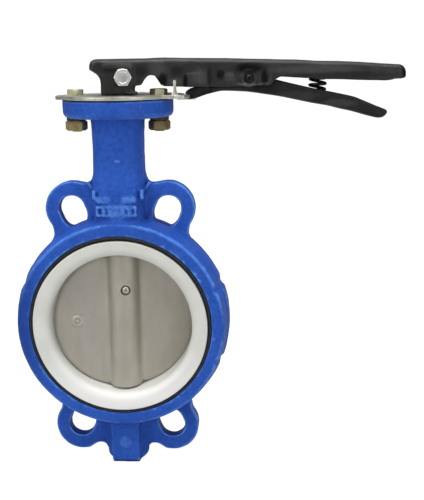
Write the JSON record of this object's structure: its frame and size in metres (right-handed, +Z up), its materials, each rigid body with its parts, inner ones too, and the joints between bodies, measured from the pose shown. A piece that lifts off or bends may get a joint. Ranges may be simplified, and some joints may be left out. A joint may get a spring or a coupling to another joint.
{
  "type": "wafer butterfly valve",
  "caption": "Lever-operated wafer butterfly valve: slotted-lug cast body, soft seat, pinned disc and stem, notched latch plate, squeeze-trigger hand lever.",
  "frame": {"origin": "on the stem axis at the flat underside of the lower boss, where the valve stands, 128.5 mm below the centre of the bore", "axes": "+Z up along the stem towards the lever, +Y along the pipe towards the rear pipe face, +X to the right of the front pipe face, the side the lever points to"},
  "size_m": [0.3345, 0.1055, 0.3509],
  "materials": {
    "blue_paint": "blue paint over a rough iron casting",
    "black_coating": "satin black coating on cast iron",
    "ptfe": "moulded off-white fluoropolymer, smooth",
    "epdm": "black elastomer, matte",
    "stainless_cast": "cast and blasted stainless steel",
    "shaft_steel": "turned steel",
    "zinc_plate": "bright zinc plating",
    "yellow_zinc": "pale yellow passivated zinc",
    "bronze_zinc": "dark yellow passivated zinc",
    "bush_polymer": "filled polymer bearing",
    "spring_steel": "black oxide spring steel"
  },
  "bodies": {
    "body": {"valve_body": "blue_paint", "seat_backing": "epdm", "seat_liner": "ptfe", "stem_bush_upper": "bush_polymer", "stem_bush_middle": "bush_polymer", "stem_bush_lower": "bush_polymer", "stem_oring_upper": "epdm", "stem_oring_lower": "epdm", "thrust_washer": "bush_polymer", "retaining_washer": "zinc_plate", "notch_plate": "zinc_plate", "flange_bolt_left": "yellow_zinc", "flange_bolt_right": "yellow_zinc", "flange_spring_washer_left": "bronze_zinc", "flange_spring_washer_right": "bronze_zinc", "flange_nut_left": "bronze_zinc", "flange_nut_right": "bronze_zinc"},
    "lever_and_disc": {"stem": "shaft_steel", "stem_circlip": "spring_steel", "disc": "stainless_cast", "disc_taper_pin": "shaft_steel", "lever": "black_coating", "clamp_bolt": "zinc_plate", "clamp_washer": "zinc_plate", "clamp_nut": "zinc_plate", "trigger_pivot_pin": "shaft_steel", "pivot_clip": "spring_steel", "trigger_spring": "spring_steel"},
    "trigger_latch": {"trigger": "black_coating", "latch_tooth": "zinc_plate"}
  },
  "joints": [
    {"name": "stem_turn", "type": "hinge", "parent": "body", "child": "lever_and_disc", "pos_m": [0, 0, 0.1285], "axis": [0, 0, 1], "range_deg": [-10, 80]},
    {"name": "trigger_squeeze", "type": "hinge", "parent": "lever_and_disc", "child": "trigger_latch", "pos_m": [0.10685, 0.01884, 0.3335], "axis": [0.1736, -0.9848, 0], "range_deg": [-3, 7.5], "deforming": ["trigger_spring"]}
  ]
}
